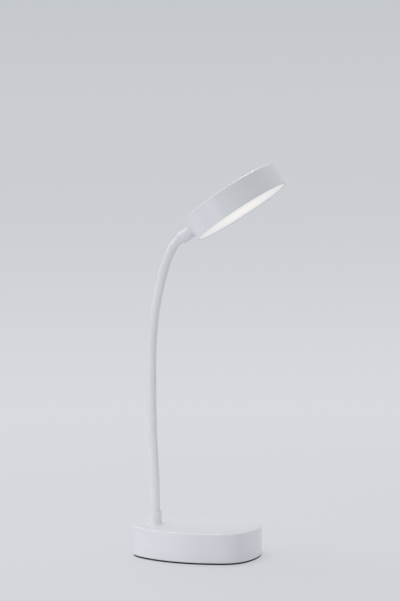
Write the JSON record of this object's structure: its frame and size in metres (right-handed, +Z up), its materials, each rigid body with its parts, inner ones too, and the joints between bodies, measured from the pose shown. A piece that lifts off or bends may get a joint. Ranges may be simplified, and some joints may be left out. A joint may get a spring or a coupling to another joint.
{
  "type": "gooseneck desk lamp",
  "caption": "White desk lamp with a low rounded base, a bendable gooseneck near its back edge and a round drum-shaped head whose open side is a glowing diffuser.",
  "frame": {"origin": "on the desk, under the middle of the base", "axes": "+X to the front, under the head; +Y to the lamp's left side; +Z up"},
  "size_m": [0.1679, 0.1102, 0.4191],
  "materials": {
    "white_gloss": "glossy moulded ABS, white",
    "white_collar": "glossy moulded ABS, white",
    "hose": "steel hose in a satin white sleeve",
    "foot_rubber": "matt black",
    "inner_plastic": "moulded ABS, fine texture",
    "plated_steel": "zinc plated",
    "screw_steel": "bright",
    "cell_can": "printed heat-shrink sleeve",
    "board": "green solder mask",
    "chip_black": "moulded epoxy",
    "copper_pad": "thin sprung strip",
    "turned_brass": "turned, nickel-free",
    "bare_aluminium": "pressed sheet",
    "white_board": "white solder mask",
    "led_phosphor": "phosphor gel",
    "reflector_white": "white, highly diffusing",
    "opal": "opal acrylic, lit from behind"
  },
  "bodies": {
    "base": {"foot_pad": "foot_rubber", "base_housing": "white_gloss", "base_cover": "inner_plastic", "counterweight": "plated_steel", "battery_holder": "inner_plastic", "battery_contacts": "plated_steel", "battery_cell": "cell_can", "control_board": "board", "board_parts": "chip_black", "usb_socket": "plated_steel", "touch_plate": "copper_pad", "touch_spring": "copper_pad", "cover_screws": "screw_steel", "weight_screws": "screw_steel", "board_screws": "screw_steel", "stem_collar": "white_collar", "stem_fitting": "turned_brass", "stem_washer": "plated_steel", "stem_nut": "turned_brass", "neck_foot": "hose"},
    "link_1": {"neck_link_1": "hose"},
    "link_2": {"neck_link_2": "hose"},
    "link_3": {"neck_link_3": "hose"},
    "link_4": {"neck_link_4": "hose"},
    "link_5": {"neck_link_5": "hose"},
    "link_6": {"neck_link_6": "hose"},
    "link_7": {"neck_link_7": "hose"},
    "link_8": {"neck_link_8": "hose"},
    "head": {"neck_tip": "hose", "head_collar": "white_collar", "head_fitting": "turned_brass", "head_nut": "turned_brass", "head_shell": "white_gloss", "heat_plate": "bare_aluminium", "led_board": "white_board", "led_chips": "led_phosphor", "reflector": "reflector_white", "diffuser": "opal", "head_screws": "screw_steel"}
  },
  "joints": [
    {"name": "neck_lower_bend", "type": "hinge", "parent": "base", "child": "link_1", "pos_m": [-0.0453, 0, 0.0604], "axis": [0, 1, 0], "range_deg": [-10, 10]},
    {"name": "neck_side_bend", "type": "hinge", "parent": "link_1", "child": "link_2", "pos_m": [-0.04619, 0, 0.09839], "axis": [0.9989, 0, 0.0471], "range_deg": [-10, 10]},
    {"name": "neck_lower_bend_b", "type": "hinge", "parent": "link_2", "child": "link_3", "pos_m": [-0.04755, 0, 0.13636], "axis": [0, 1, 0], "range_deg": [-10, 10]},
    {"name": "neck_lower_bend_c", "type": "hinge", "parent": "link_3", "child": "link_4", "pos_m": [-0.04795, 0, 0.17436], "axis": [0, 1, 0], "range_deg": [-10, 10]},
    {"name": "neck_side_bend_b", "type": "hinge", "parent": "link_4", "child": "link_5", "pos_m": [-0.04752, 0, 0.21235], "axis": [0.9998, 0, -0.0192], "range_deg": [-10, 10]},
    {"name": "neck_upper_bend", "type": "hinge", "parent": "link_5", "child": "link_6", "pos_m": [-0.0451, 0, 0.24826], "axis": [0, 1, 0], "range_deg": [-15, 15]},
    {"name": "neck_upper_bend_b", "type": "hinge", "parent": "link_6", "child": "link_7", "pos_m": [-0.0398, 0, 0.2798], "axis": [0, 1, 0], "range_deg": [-15, 15]},
    {"name": "neck_side_bend_c", "type": "hinge", "parent": "link_7", "child": "link_8", "pos_m": [-0.03281, 0, 0.30691], "axis": [0.9593, 0, -0.2823], "range_deg": [-10, 10]},
    {"name": "neck_upper_bend_c", "type": "hinge", "parent": "link_8", "child": "head", "pos_m": [-0.0233, 0, 0.32976], "axis": [0, 1, 0], "range_deg": [-15, 15]}
  ],
  "couplings": [
    {"joint": "neck_lower_bend_b", "follows": "neck_lower_bend", "ratio": 1},
    {"joint": "neck_lower_bend_c", "follows": "neck_lower_bend", "ratio": 1},
    {"joint": "neck_side_bend_b", "follows": "neck_side_bend", "ratio": 1},
    {"joint": "neck_side_bend_c", "follows": "neck_side_bend", "ratio": 1},
    {"joint": "neck_upper_bend_b", "follows": "neck_upper_bend", "ratio": 1},
    {"joint": "neck_upper_bend_c", "follows": "neck_upper_bend", "ratio": 1}
  ]
}
